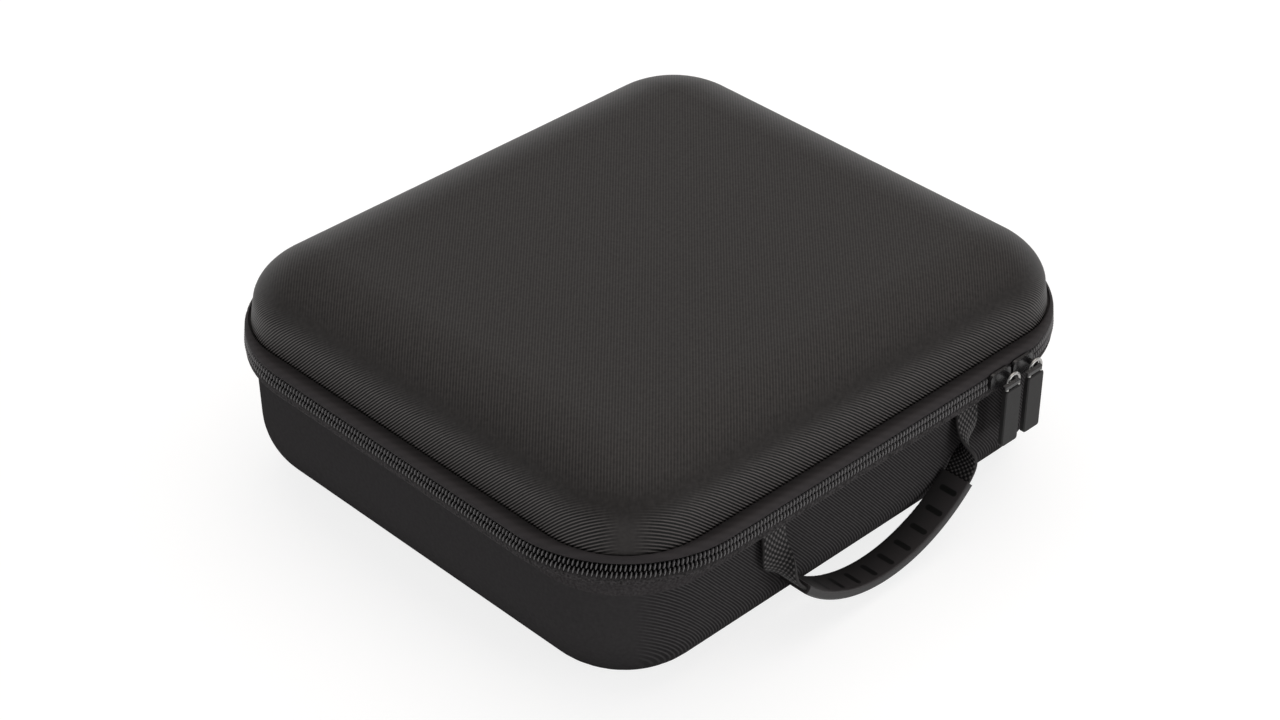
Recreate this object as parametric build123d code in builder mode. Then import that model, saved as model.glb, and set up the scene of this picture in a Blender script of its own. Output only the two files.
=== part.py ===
"""Zipped hard case for a portable game console.

A moulded tub and lid meet at a zip that runs round three sides and both back
corners. A cloth hinge joins them along the back, and a webbing handle with a
rubber grip hangs under the front rim. Sizes are in millimetres. X is the width,
the front faces -Y, Z is up, and the origin is the centre of the face it rests on.
"""

import os
from math import asin, cos, radians, sin

from build123d import *

# Overall size, over the outer face of the zip
case_width = 300.0
case_depth = 272.0
case_height = 108.0
rim_radius = 61.0
zip_level = 72.3

# Moulded shells
wall = 4.5
overhang = 7.5
base_radius = 44.0
base_draft = 1.8
base_bottom_radius = 31.0
lid_radius = 42.0
lid_draft = 1.8
shoulder_width = 37.0
shoulder_height = 20.0
shoulder_lift = 0.455
shoulder_pull = 0.542
shell_gap = 0.3
channel_depth = 5.2

# Zip
coil_thickness = 2.2
coil_gap = 0.8
tape_thickness = 0.6
tape_height = 2.5
zip_end = 86.0

# Rim bindings
binding_thickness = 2.0
binding_height = 5.1
binding_round = 1.2
bead_height = 3.0
bead_inset = 0.2
bead_round = 2.6
crease_width = 1.2
crease_depth = 1.6

# Cloth hinge at the back
hinge_thickness = 0.8
hinge_gap = 0.2
hinge_side_gap = 2.0
hinge_lap = 4.4
hinge_upper_lap = 1.6

# Zip sliders
slider_length = 13.0
slider_height = 8.0
slider_plate = 1.4
slider_corner = 2.4
slider_clearance = 0.5
inner_plate_length = 10.0
inner_plate_height = 5.0
inner_plate_thickness = 1.0
inner_plate_clearance = 0.7
fin_thickness = 0.5
crown_reach = 4.2
crown_width = 1.4
crown_height = 2.2
crown_window = 5.2
crown_bar = 1.6
crown_round = 0.5
slider_spacing = 14.8
slider_setback = 1.4

# Zip pulls
wire = 1.5
loop_radius = 3.7
loop_drop = 1.5
loop_leg = 3.2
tab_width = 10.4
tab_length = 29.2
tab_thickness = 2.4
tab_corner = 1.6
tab_edge = 0.5
socket_depth = 4.0
socket_clearance = 0.1

# Handle
strap_width = 13.0
strap_thickness = 1.5
strap_spacing = 120.0
strap_setback = 5.6
strap_clearance = 0.3
grip_chord = 102.0
grip_sag = 21.4
grip_width = 15.4
grip_thickness = 4.0
grip_round = 1.0
grip_reach = 5.6
grip_drop = 32.9
grip_channel_gap = 0.2
slot_count = 9
slot_pitch = 11.0
slot_length = 9.0
slot_width = 2.0
slot_depth = 0.7
slot_margin = 1.2
strap_hang = 19.0
strap_lean = 4.0
strap_turn = 12.0
twist_start = 0.5
twist_end = 0.95
strap_sections = 16

# Foam tray
tray_gap = 0.4
tray_top_gap = 6.0
well_margin = 18.0
well_rib = 12.0
well_corner = 10.0
console_well_depth = 26.0
accessory_well_depth = 44.0

# Net pocket in the lid
pocket_thickness = 1.0
pocket_level = 7.5
pocket_gap = 0.3
pocket_setback = 62.0
hem_width = 8.0
hem_thickness = 2.2

# Levels and places that follow from the sizes above
base_top = zip_level - shell_gap / 2
lid_foot = zip_level + shell_gap / 2
lower_zip_top = zip_level - coil_gap / 2
upper_zip_bottom = zip_level + coil_gap / 2
binding_top = lower_zip_top - tape_height
binding_bottom = binding_top - binding_height
bead_bottom = upper_zip_bottom + tape_height
crease_level = bead_bottom + bead_height - crease_depth
shoulder_level = case_height - shoulder_height
front = -case_depth / 2
back = case_depth / 2
tape_inner = coil_thickness + tape_thickness
inner_plate_inset = tape_inner + inner_plate_clearance
outer_plate_face = slider_clearance + slider_plate
crown_bar_inner = outer_plate_face + crown_window
loop_out = crown_bar_inner - slider_clearance - tab_thickness / 2
slider_right_x = case_width / 2 - rim_radius - slider_setback
slider_left_x = slider_right_x - slider_spacing
grip_half = grip_chord / 2
grip_arc = (grip_half**2 + grip_sag**2) / (2 * grip_sag)
strap_root = Vector(strap_spacing / 2, front + strap_setback, 0)
strap_root.Z = binding_bottom - strap_clearance - strap_thickness / 2
grip_y = strap_root.Y - grip_reach
grip_end_z = strap_root.Z - grip_drop


def rim_outline(inset, mode=Mode.ADD):
    """Draw the outline of the zip's outer face, set in all round."""
    width = case_width - 2 * inset
    depth = case_depth - 2 * inset
    RectangleRounded(width, depth, rim_radius - inset, mode=mode)


def rim_band(outer_inset, inner_inset, level, height):
    """Make a band that follows the rim between two insets."""
    with BuildPart() as band:
        with BuildSketch(Plane.XY.offset(level)):
            rim_outline(outer_inset)
            rim_outline(inner_inset, mode=Mode.SUBTRACT)
        extrude(amount=height)
    return band.part


def zip_band(outer_inset, inner_inset, level, height):
    """Make a rim band that stops at the zip's two ends, beside the hinge."""
    with BuildPart() as band:
        add(rim_band(outer_inset, inner_inset, level, height))
        with Locations((0, back, level)):
            Box(2 * zip_end, rim_radius, 4 * height, mode=Mode.SUBTRACT)
    return band.part


def base_form(offset, floor):
    """Make the tub's solid form, set in by an offset and standing on a floor level."""
    with BuildPart() as form:
        for level in (floor, base_top):
            inset = overhang + offset + base_draft * (1 - level / base_top)
            corner = base_radius + overhang - inset
            with BuildSketch(Plane.XY.offset(level)):
                RectangleRounded(case_width - 2 * inset, case_depth - 2 * inset, corner)
        loft(ruled=True)
        fillet(form.edges().group_by(Axis.Z)[0], base_bottom_radius - offset)
    return form.part


def lid_outline(inset, level):
    """Draw the lid's outline at a level, set in from the zip's outer face."""
    with BuildSketch(Plane.XY.offset(level)) as outline:
        RectangleRounded(case_width - 2 * inset, case_depth - 2 * inset, lid_radius + overhang - inset)
    return outline.sketch


def lid_form(offset, foot):
    """Make the lid's solid form, set in by an offset: drafted walls, curved shoulder, flat top."""
    slope = lid_draft / (shoulder_level - crease_level)
    across = shoulder_width - offset
    rise = shoulder_height - offset
    lift = shoulder_lift * rise
    with BuildPart() as form:
        for level in (foot, shoulder_level):
            add(lid_outline(overhang + offset + slope * (level - crease_level), level))
        loft(ruled=True)
        edge = form.faces().sort_by(Axis.Z)[-1].outer_wire()
        extrude(lid_outline(overhang + lid_draft + shoulder_width, shoulder_level), amount=rise)
        inwards = Vector(0, 0, 1).cross(edge % 0)
        with BuildSketch(Plane(origin=edge @ 0, x_dir=inwards, z_dir=edge % 0)):
            with BuildLine():
                Bezier((0, 0), (slope * lift, lift), (across * (1 - shoulder_pull), rise), (across, rise))
                Polyline((across, rise), (across, 0), (0, 0))
            make_face()
        sweep(path=edge)
    return form.part


def front_plane(x, out, level):
    """Place a plane in front of the rim that faces outwards, with its own Y upwards."""
    return Plane(origin=(x, front - out, level), x_dir=(1, 0, 0), z_dir=(0, -1, 0))


# Base shell: tub with a moulded flange that carries the zip
with BuildPart() as base_shell:
    add(base_form(0, 0))
    add(rim_band(binding_thickness, overhang + wall, binding_bottom, binding_height))
    add(base_form(wall, wall), mode=Mode.SUBTRACT)
    add(rim_band(-overhang, channel_depth, binding_top, case_height), mode=Mode.SUBTRACT)
base_shell.part.label = "base_shell"

# Lid shell: cover with a broad soft shoulder, cut back behind the zip
with BuildPart() as lid_shell:
    add(lid_form(0, lid_foot))
    add(lid_form(wall, lid_foot), mode=Mode.SUBTRACT)
    add(rim_band(-overhang, channel_depth, lid_foot, bead_bottom - lid_foot), mode=Mode.SUBTRACT)
lid_shell.part.label = "lid_shell"

# Base rim binding: cloth band round the flange's edge
with BuildPart() as base_rim_binding:
    add(rim_band(0, binding_thickness, binding_bottom, binding_height))
    lower_face = base_rim_binding.faces().sort_by(Axis.Z)[0]
    fillet(lower_face.outer_wire().edges(), binding_round)
base_rim_binding.part.label = "base_rim_binding"

# Lid rim binding: rounded bead with a crease between it and the lid's wall
with BuildPart() as lid_rim_binding:
    with BuildSketch(Plane.XY.offset(bead_bottom)):
        rim_outline(bead_inset)
    extrude(amount=bead_height)
    fillet(lid_rim_binding.edges().group_by(Axis.Z)[-1], bead_round)
    add(lid_form(0, lid_foot), mode=Mode.SUBTRACT)
    add(lid_form(-crease_width, crease_level), mode=Mode.SUBTRACT)
lid_rim_binding.part.label = "lid_rim_binding"

# Zip tapes stand on the flange and hang from the bead
with BuildPart() as zip_tape_lower:
    add(zip_band(coil_thickness, tape_inner, binding_top, tape_height))
zip_tape_lower.part.label = "zip_tape_lower"

with BuildPart() as zip_tape_upper:
    add(zip_band(coil_thickness, tape_inner, upper_zip_bottom, tape_height))
zip_tape_upper.part.label = "zip_tape_upper"

# Zip coils are sewn to the outer faces of the tapes
with BuildPart() as zip_coil_lower:
    add(zip_band(0, coil_thickness, lower_zip_top - coil_thickness, coil_thickness))
zip_coil_lower.part.label = "zip_coil_lower"

with BuildPart() as zip_coil_upper:
    add(zip_band(0, coil_thickness, upper_zip_bottom, coil_thickness))
zip_coil_upper.part.label = "zip_coil_upper"

# Cloth hinge: one leaf sewn to each rim, meeting at the fold
hinge_width = 2 * (zip_end - hinge_side_gap)
hinge_y = back + hinge_thickness / 2
with BuildPart() as hinge_strip_lower:
    with BuildSketch(Plane.XY.offset(binding_top - hinge_lap)):
        with Locations((0, hinge_y)):
            Rectangle(hinge_width, hinge_thickness)
    extrude(amount=zip_level - hinge_gap / 2 - binding_top + hinge_lap)
hinge_strip_lower.part.label = "hinge_strip_lower"

with BuildPart() as hinge_strip_upper:
    with BuildSketch(Plane.XY.offset(zip_level + hinge_gap / 2)):
        with Locations((0, hinge_y)):
            Rectangle(hinge_width, hinge_thickness)
    extrude(amount=bead_bottom + hinge_upper_lap - zip_level - hinge_gap / 2)
hinge_strip_upper.part.label = "hinge_strip_upper"


def make_slider(x):
    """Make a zip slider: two plates joined by a thin fin, with a hooked crown outside."""
    with BuildPart() as slider:
        with BuildSketch(front_plane(x, slider_clearance, zip_level)):
            RectangleRounded(slider_length, slider_height, slider_corner)
        extrude(amount=slider_plate)
        with BuildSketch(front_plane(x, -inner_plate_inset, zip_level)):
            Rectangle(inner_plate_length, inner_plate_height)
        extrude(amount=-inner_plate_thickness)
        with BuildSketch(front_plane(x, -inner_plate_inset, zip_level)):
            Rectangle(inner_plate_length, fin_thickness)
        extrude(amount=inner_plate_inset + slider_clearance)
        with BuildSketch(front_plane(x + crown_reach, outer_plate_face, zip_level)):
            Rectangle(crown_width, crown_height)
        extrude(amount=crown_window)
        with BuildSketch(front_plane(x, crown_bar_inner, zip_level)):
            Rectangle(2 * crown_reach + crown_width, crown_height)
        extrude(amount=crown_bar)
        bar_face = slider.faces().sort_by(Axis.Y)[0]
        fillet(bar_face.edges(), crown_round)
    return slider.part


def make_pull_loop(x):
    """Make the wire loop that hangs round the leg of a slider's crown."""
    plane = front_plane(x + crown_reach, loop_out, zip_level - loop_drop)
    foot = loop_leg + socket_depth
    with BuildPart() as loop:
        with BuildLine(plane) as path:
            Line((-loop_radius, -foot), (-loop_radius, 0))
            CenterArc((0, 0), loop_radius, 180, -180)
            Line((loop_radius, 0), (loop_radius, -foot))
        with BuildSketch(Plane(origin=path.line @ 0, z_dir=path.line % 0)):
            Circle(wire / 2)
        sweep()
    return loop.part


def make_pull_tab(x):
    """Make the rubber tab moulded over the ends of a pull loop."""
    plane = front_plane(x + crown_reach, loop_out, zip_level - loop_drop)
    tab_top = Plane(origin=plane.origin - Vector(0, 0, loop_leg), x_dir=(1, 0, 0), z_dir=(0, 0, -1))
    with BuildPart() as tab:
        with BuildSketch(plane):
            with Locations((0, -loop_leg - tab_length / 2)):
                RectangleRounded(tab_width, tab_length, tab_corner)
        extrude(amount=tab_thickness / 2, both=True)
        chamfer(tab.faces().sort_by(Axis.Y)[0].edges(), tab_edge)
        with BuildSketch(tab_top):
            with GridLocations(2 * loop_radius, 0, 2, 1):
                Circle(wire / 2 + socket_clearance)
        extrude(amount=socket_depth, mode=Mode.SUBTRACT)
    return tab.part


# Two sliders meet near the right front corner, each with its own pull
with BuildPart() as slider_left:
    add(make_slider(slider_left_x))
slider_left.part.label = "slider_left"

with BuildPart() as slider_right:
    add(make_slider(slider_right_x))
slider_right.part.label = "slider_right"

with BuildPart() as pull_loop_left:
    add(make_pull_loop(slider_left_x))
pull_loop_left.part.label = "pull_loop_left"

with BuildPart() as pull_loop_right:
    add(make_pull_loop(slider_right_x))
pull_loop_right.part.label = "pull_loop_right"

with BuildPart() as pull_tab_left:
    add(make_pull_tab(slider_left_x))
pull_tab_left.part.label = "pull_tab_left"

with BuildPart() as pull_tab_right:
    add(make_pull_tab(slider_right_x))
pull_tab_right.part.label = "pull_tab_right"

# Handle strap: hangs from the rim, twists a quarter turn and runs through the grip
grip_end = Vector(grip_half, grip_y, grip_end_z)
grip_slope = asin(grip_half / grip_arc)
grip_tangent = Vector(-cos(grip_slope), 0, -sin(grip_slope))
strap_fall = Vector(0, -sin(radians(strap_lean)), -cos(radians(strap_lean))) * strap_hang
strap_curve = Bezier(strap_root, strap_root + strap_fall, grip_end - grip_tangent * strap_turn, grip_end)


def strap_section(step):
    """Place the strap's cross-section at one step of the way from its root to the grip."""
    share = step / strap_sections
    along = strap_curve % share
    late = min(1, max(0, (share - twist_start) / (twist_end - twist_start)))
    twist = radians(90) * late**2 * (3 - 2 * late)
    across = Vector(cos(twist), -sin(twist), 0)
    across = across - along * across.dot(along)
    return Plane(origin=strap_curve @ share, x_dir=across, z_dir=along)


def grip_path():
    """Draw the arc that the grip and the strap inside it follow."""
    ThreePointArc(
        (-grip_half, grip_y, grip_end_z),
        (0, grip_y, grip_end_z - grip_sag),
        (grip_half, grip_y, grip_end_z),
    )


grip_mouth = Plane(
    origin=(-grip_half, grip_y, grip_end_z),
    x_dir=(0, 1, 0),
    z_dir=(cos(grip_slope), 0, -sin(grip_slope)),
)

with BuildPart() as handle_strap:
    for step in range(strap_sections + 1):
        with BuildSketch(strap_section(step)):
            Rectangle(strap_width, strap_thickness)
    loft()
    with Locations(Location(strap_root, (0, 90, 0))):
        Cylinder(strap_thickness / 2, strap_width)
    mirror(about=Plane.YZ)
    with BuildLine():
        grip_path()
    with BuildSketch(grip_mouth):
        Rectangle(strap_width, strap_thickness)
    sweep()
handle_strap.part.label = "handle_strap"

# Handle grip: rubber sleeve on the strap, with cross slots in its upper face
slot_radius = grip_arc - grip_thickness / 2
slot_y = grip_y - grip_width / 2 + slot_margin + slot_length / 2
arc_centre_z = grip_end_z - grip_sag + grip_arc
with BuildPart() as handle_grip:
    with BuildLine():
        grip_path()
    with BuildSketch(grip_mouth):
        RectangleRounded(grip_width, grip_thickness, grip_round)
        channel_width = strap_width + 2 * grip_channel_gap
        Rectangle(channel_width, strap_thickness + 2 * grip_channel_gap, mode=Mode.SUBTRACT)
    sweep()
    for index in range(slot_count):
        turn = (index - (slot_count - 1) / 2) * slot_pitch / grip_arc
        slot_plane = Plane(
            origin=(slot_radius * sin(turn), slot_y, arc_centre_z - slot_radius * cos(turn)),
            x_dir=(cos(turn), 0, sin(turn)),
            z_dir=(-sin(turn), 0, cos(turn)),
        )
        with BuildSketch(slot_plane):
            SlotOverall(slot_length, slot_width, rotation=90)
        extrude(amount=-slot_depth, mode=Mode.SUBTRACT)
handle_grip.part.label = "handle_grip"

# Foam tray: fills the tub, with one console well and two accessory wells
tray_inset = overhang + wall + tray_gap + well_margin
wells_width = case_width - 2 * tray_inset
wells_depth = case_depth - 2 * tray_inset
well_row = (wells_depth - well_rib) / 2
half_well = (wells_width - well_rib) / 2
tray_top = Plane.XY.offset(base_top - tray_top_gap)
with BuildPart() as foam_tray:
    add(base_form(wall + tray_gap, wall))
    split(bisect_by=tray_top, keep=Keep.BOTTOM)
    with BuildSketch(tray_top):
        with Locations((0, (well_row + well_rib) / 2)):
            RectangleRounded(wells_width, well_row, well_corner)
    extrude(amount=-console_well_depth, mode=Mode.SUBTRACT)
    with BuildSketch(tray_top):
        with Locations((0, -(well_row + well_rib) / 2)):
            with GridLocations(half_well + well_rib, 0, 2, 1):
                RectangleRounded(half_well, well_row, well_corner)
    extrude(amount=-accessory_well_depth, mode=Mode.SUBTRACT)
foam_tray.part.label = "foam_tray"


def lid_panel(near, far, thickness):
    """Make a flat panel that spans the inside of the lid between two places along Y."""
    with BuildPart() as panel:
        add(lid_form(wall + pocket_gap, lid_foot))
        with Locations((0, (near + far) / 2, lid_foot + pocket_level)):
            Box(case_width, far - near, thickness, mode=Mode.INTERSECT)
    return panel.part


# Net pocket sewn to the lid's sides and back, with an elastic hem along its mouth
pocket_mouth = front + pocket_setback
with BuildPart() as lid_pocket_mesh:
    add(lid_panel(pocket_mouth, back, pocket_thickness))
lid_pocket_mesh.part.label = "lid_pocket_mesh"

with BuildPart() as lid_pocket_hem:
    add(lid_panel(pocket_mouth - hem_width, pocket_mouth, hem_thickness))
lid_pocket_hem.part.label = "lid_pocket_hem"

nodes = (
    base_shell,
    lid_shell,
    base_rim_binding,
    lid_rim_binding,
    zip_tape_lower,
    zip_tape_upper,
    zip_coil_lower,
    zip_coil_upper,
    hinge_strip_lower,
    hinge_strip_upper,
    slider_left,
    slider_right,
    pull_loop_left,
    pull_loop_right,
    pull_tab_left,
    pull_tab_right,
    handle_strap,
    handle_grip,
    foam_tray,
    lid_pocket_mesh,
    lid_pocket_hem,
)
os.makedirs("parts", exist_ok=True)
for node in nodes:
    export_step(node.part, f"parts/{node.part.label}.step")
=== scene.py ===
# %% [markdown]
# A zipped hard case for a portable game console, dressed in its materials.
# The real case is two shells of moulded foam board covered in black woven cloth.
# They meet at a coil zip, and a webbing handle with a rubber grip hangs from the front rim.
# The CAD part gives every piece its place. This lesson sets up the camera and the light, and then
# adds the cloth, the coil's teeth, the webbing, the net pocket and the finishes.

from math import asin, cos, pi, radians, sin

import bmesh
import bpy
from mathutils import Matrix, Vector


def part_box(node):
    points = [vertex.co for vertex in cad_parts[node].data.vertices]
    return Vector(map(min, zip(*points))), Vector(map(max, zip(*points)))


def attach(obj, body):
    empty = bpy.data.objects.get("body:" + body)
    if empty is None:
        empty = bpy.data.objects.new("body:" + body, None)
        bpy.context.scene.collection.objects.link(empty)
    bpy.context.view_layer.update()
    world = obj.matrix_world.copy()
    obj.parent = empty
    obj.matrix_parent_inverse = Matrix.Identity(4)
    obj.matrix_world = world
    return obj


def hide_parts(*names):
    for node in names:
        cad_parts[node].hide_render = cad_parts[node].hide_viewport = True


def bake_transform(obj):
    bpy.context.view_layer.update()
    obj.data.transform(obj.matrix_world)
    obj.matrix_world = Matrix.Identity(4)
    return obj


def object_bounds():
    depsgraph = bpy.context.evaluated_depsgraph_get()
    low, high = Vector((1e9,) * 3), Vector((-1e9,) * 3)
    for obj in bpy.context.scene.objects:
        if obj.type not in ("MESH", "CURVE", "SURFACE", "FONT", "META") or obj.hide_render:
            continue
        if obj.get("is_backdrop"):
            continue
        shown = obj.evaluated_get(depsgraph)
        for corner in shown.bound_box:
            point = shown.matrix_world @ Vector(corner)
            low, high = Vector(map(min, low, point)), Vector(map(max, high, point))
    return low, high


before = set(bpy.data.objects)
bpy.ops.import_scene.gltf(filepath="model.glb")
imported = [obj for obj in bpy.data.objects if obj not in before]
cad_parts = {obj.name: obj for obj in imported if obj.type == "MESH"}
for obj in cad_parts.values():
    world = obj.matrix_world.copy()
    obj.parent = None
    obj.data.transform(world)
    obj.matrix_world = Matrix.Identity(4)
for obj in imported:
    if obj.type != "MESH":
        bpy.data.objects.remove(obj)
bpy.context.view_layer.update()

# %% [markdown]
# The photograph was taken with a long lens from above the front left corner.
# A camera can be aimed by a constraint or placed by numbers. Numbers are used here, because
# the same angles, distance and slight roll then hold at every image size.

# %% Camera
azimuth = radians(-44.70)
elevation = radians(35.19)
roll = radians(0.41)
camera_distance = 1.2814
focal_length = 81.33
sensor_width = 36
case_middle = Vector((0, 0, 0.05))
shift_right = 0.00485
shift_up = 0.00187
back = Vector((sin(azimuth) * cos(elevation), -cos(azimuth) * cos(elevation), sin(elevation)))
right = Vector((cos(azimuth), sin(azimuth), 0))
up = back.cross(right)
turned_right = right * cos(roll) + up * sin(roll)
turned_up = up * cos(roll) - right * sin(roll)

camera_data = bpy.data.cameras.new("photo_camera")
camera_data.sensor_width = sensor_width
camera_data.lens = focal_length
camera = bpy.data.objects.new("photo_camera", camera_data)
bpy.context.scene.collection.objects.link(camera)
aim = case_middle - turned_right * shift_right - turned_up * shift_up
turned = Matrix((turned_right, turned_up, back)).transposed().to_4x4()
camera.matrix_world = Matrix.Translation(aim + back * camera_distance) @ turned
bpy.context.scene.camera = camera
print("camera at", [round(x, 3) for x in camera.location])

# %% [markdown]
# A colour is written as the screen shows it, and shaders want it linear.
# One function makes that change, and one function adds a shader node with its settings,
# its constants and its links, so that each material below reads as a short recipe.
# Two more start a material and put it on a CAD piece.


# %% Colours, nodes and materials
def srgb(code):
    """Turn a colour written as #rrggbb into the linear values that shaders use."""
    parts = [int(code[start : start + 2], 16) / 255 for start in (1, 3, 5)]
    linear = [c / 12.92 if c <= 0.04045 else ((c + 0.055) / 1.055) ** 2.4 for c in parts]
    return (*linear, 1.0)


def add_node(tree, kind, settings=None, values=None, links=None):
    """Add a node, set its properties and its sockets, and link outputs into it."""
    node = tree.nodes.new(kind)
    for name, value in (settings or {}).items():
        setattr(node, name, value)
    for socket, value in (values or {}).items():
        node.inputs[socket].default_value = value
    for socket, output in (links or {}).items():
        tree.links.new(output, node.inputs[socket])
    return node


def new_material(name, values):
    """Start a material and set the constants of its shader."""
    material = bpy.data.materials.new(name)
    material.use_nodes = True
    shader = material.node_tree.nodes["Principled BSDF"]
    for socket, value in values.items():
        shader.inputs[socket].default_value = value
    return material, material.node_tree, shader


def dress(node, material):
    """Give a CAD piece its material."""
    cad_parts[node].data.materials.clear()
    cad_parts[node].data.materials.append(material)
    print(node, "is", material.name)


print("screen grey #808080 is", round(srgb("#808080")[0], 3), "to a shader")

# %% [markdown]
# The studio is a white floor that runs back to white walls, as in the photograph.
# The floor could be pure white light, but then nothing would stand on it. Here it is matt white
# paper that keeps the shadow, with a little light of its own for what the camera sees, straight
# or mirrored in metal and gloss.

# %% White floor
# Matt paper: an even white, with a soft grey shadow where the case stands.
floor_half_width = 6
floor_drop = 0.0004
floor_material, tree, shader = new_material("white_studio_paper", {"Roughness": 0.9})
shader.inputs["Base Color"].default_value = srgb("#909090")
rays = add_node(tree, "ShaderNodeLightPath")
seen = rays.outputs["Is Camera Ray"]
for kind in ("Is Glossy Ray", "Is Transmission Ray"):
    either = add_node(
        tree, "ShaderNodeMath", {"operation": "MAXIMUM"}, links={0: seen, 1: rays.outputs[kind]}
    )
    seen = either.outputs[0]
glow = add_node(tree, "ShaderNodeEmission", values={"Strength": 0.8})
black = add_node(tree, "ShaderNodeEmission", values={"Strength": 0.0})
shown = add_node(tree, "ShaderNodeMixShader", links={0: seen, 1: black.outputs[0], 2: glow.outputs[0]})
paper = add_node(tree, "ShaderNodeAddShader", links={0: shader.outputs[0], 1: shown.outputs[0]})
tree.links.new(paper.outputs[0], tree.nodes["Material Output"].inputs["Surface"])

floor_mesh = bpy.data.meshes.new("floor")
bm = bmesh.new()
bmesh.ops.create_grid(bm, x_segments=1, y_segments=1, size=floor_half_width)
bmesh.ops.translate(bm, verts=bm.verts, vec=(0, 0, -floor_drop))
bm.to_mesh(floor_mesh)
bm.free()
floor_mesh.materials.append(floor_material)
floor = bpy.data.objects.new("floor", floor_mesh)
bpy.context.scene.collection.objects.link(floor)
floor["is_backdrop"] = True
print("floor is", round(floor.dimensions.x, 1), "m wide")

# %% [markdown]
# The walls are white near the floor and fall into shade higher up. An even world would light the
# lid's shoulder as much as its walls. In the photograph the shoulder is the darkest part, because
# it mirrors the dim band between the white walls and the lamp.

# %% White walls that darken upwards
low_strength = 1.6
high_strength = 0.25
world = bpy.data.worlds.new("studio")
bpy.context.scene.world = world
world.use_nodes = True
tree = world.node_tree
view = add_node(tree, "ShaderNodeTexCoord")
height = add_node(tree, "ShaderNodeSeparateXYZ", links={0: view.outputs["Generated"]})
strength = add_node(
    tree,
    "ShaderNodeMapRange",
    {"interpolation_type": "SMOOTHSTEP"},
    {"From Min": 0.1, "From Max": 0.45, "To Min": low_strength, "To Max": high_strength},
    {"Value": height.outputs["Z"]},
)
walls = tree.nodes["Background"]
walls.inputs["Color"].default_value = (1, 1, 1, 1)
tree.links.new(strength.outputs[0], walls.inputs["Strength"])
print("walls fall from", low_strength, "to", high_strength)

# %% [markdown]
# The lid's flat top is lightest towards the back and right, and a little warm. So the lamp is one
# large soft box high up behind the case. Two small ones stand low beside the front and the left, so
# that the walls under the rim aren't lost. One hard lamp would give the cloth a sheen that it lacks.


# %% Soft boxes
def add_soft_box(name, place, target, width, power, tint):
    """Add a square area light that faces a target."""
    data = bpy.data.lights.new(name, "AREA")
    data.size = width
    data.energy = power
    data.color = srgb(tint)[:3]
    light = bpy.data.objects.new(name, data)
    bpy.context.scene.collection.objects.link(light)
    light.location = place
    light.rotation_euler = (Vector(target) - Vector(place)).to_track_quat("-Z", "Y").to_euler()
    print(name, "at", place, "with", power, "W")


add_soft_box("top_box", (0.6, 0.25, 1.6), (0.6, 0.25, 0), width=2.0, power=18, tint="#fff8f2")
add_soft_box("front_box", (0.3, -1.5, 0.4), (0, 0, 0.06), width=0.8, power=5, tint="#ffffff")
add_soft_box("left_box", (-1.5, 0.3, 0.4), (0, 0, 0.06), width=0.8, power=2.5, tint="#ffffff")
bpy.context.scene.view_settings.view_transform = "Standard"

# %% [markdown]
# The shells are covered in black polyester twill. In a twill each thread steps one place along
# in every row, and the steps add up to slanting ridges. One sheet is moulded over each shell, so
# the slant changes from wall to wall. A pattern for each wall would break at the corners, but one
# slanting wave through the whole box bends round them as moulded cloth does. A second, fainter
# wave serves the flat top, and the two fade into each other over the shoulder.

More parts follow.
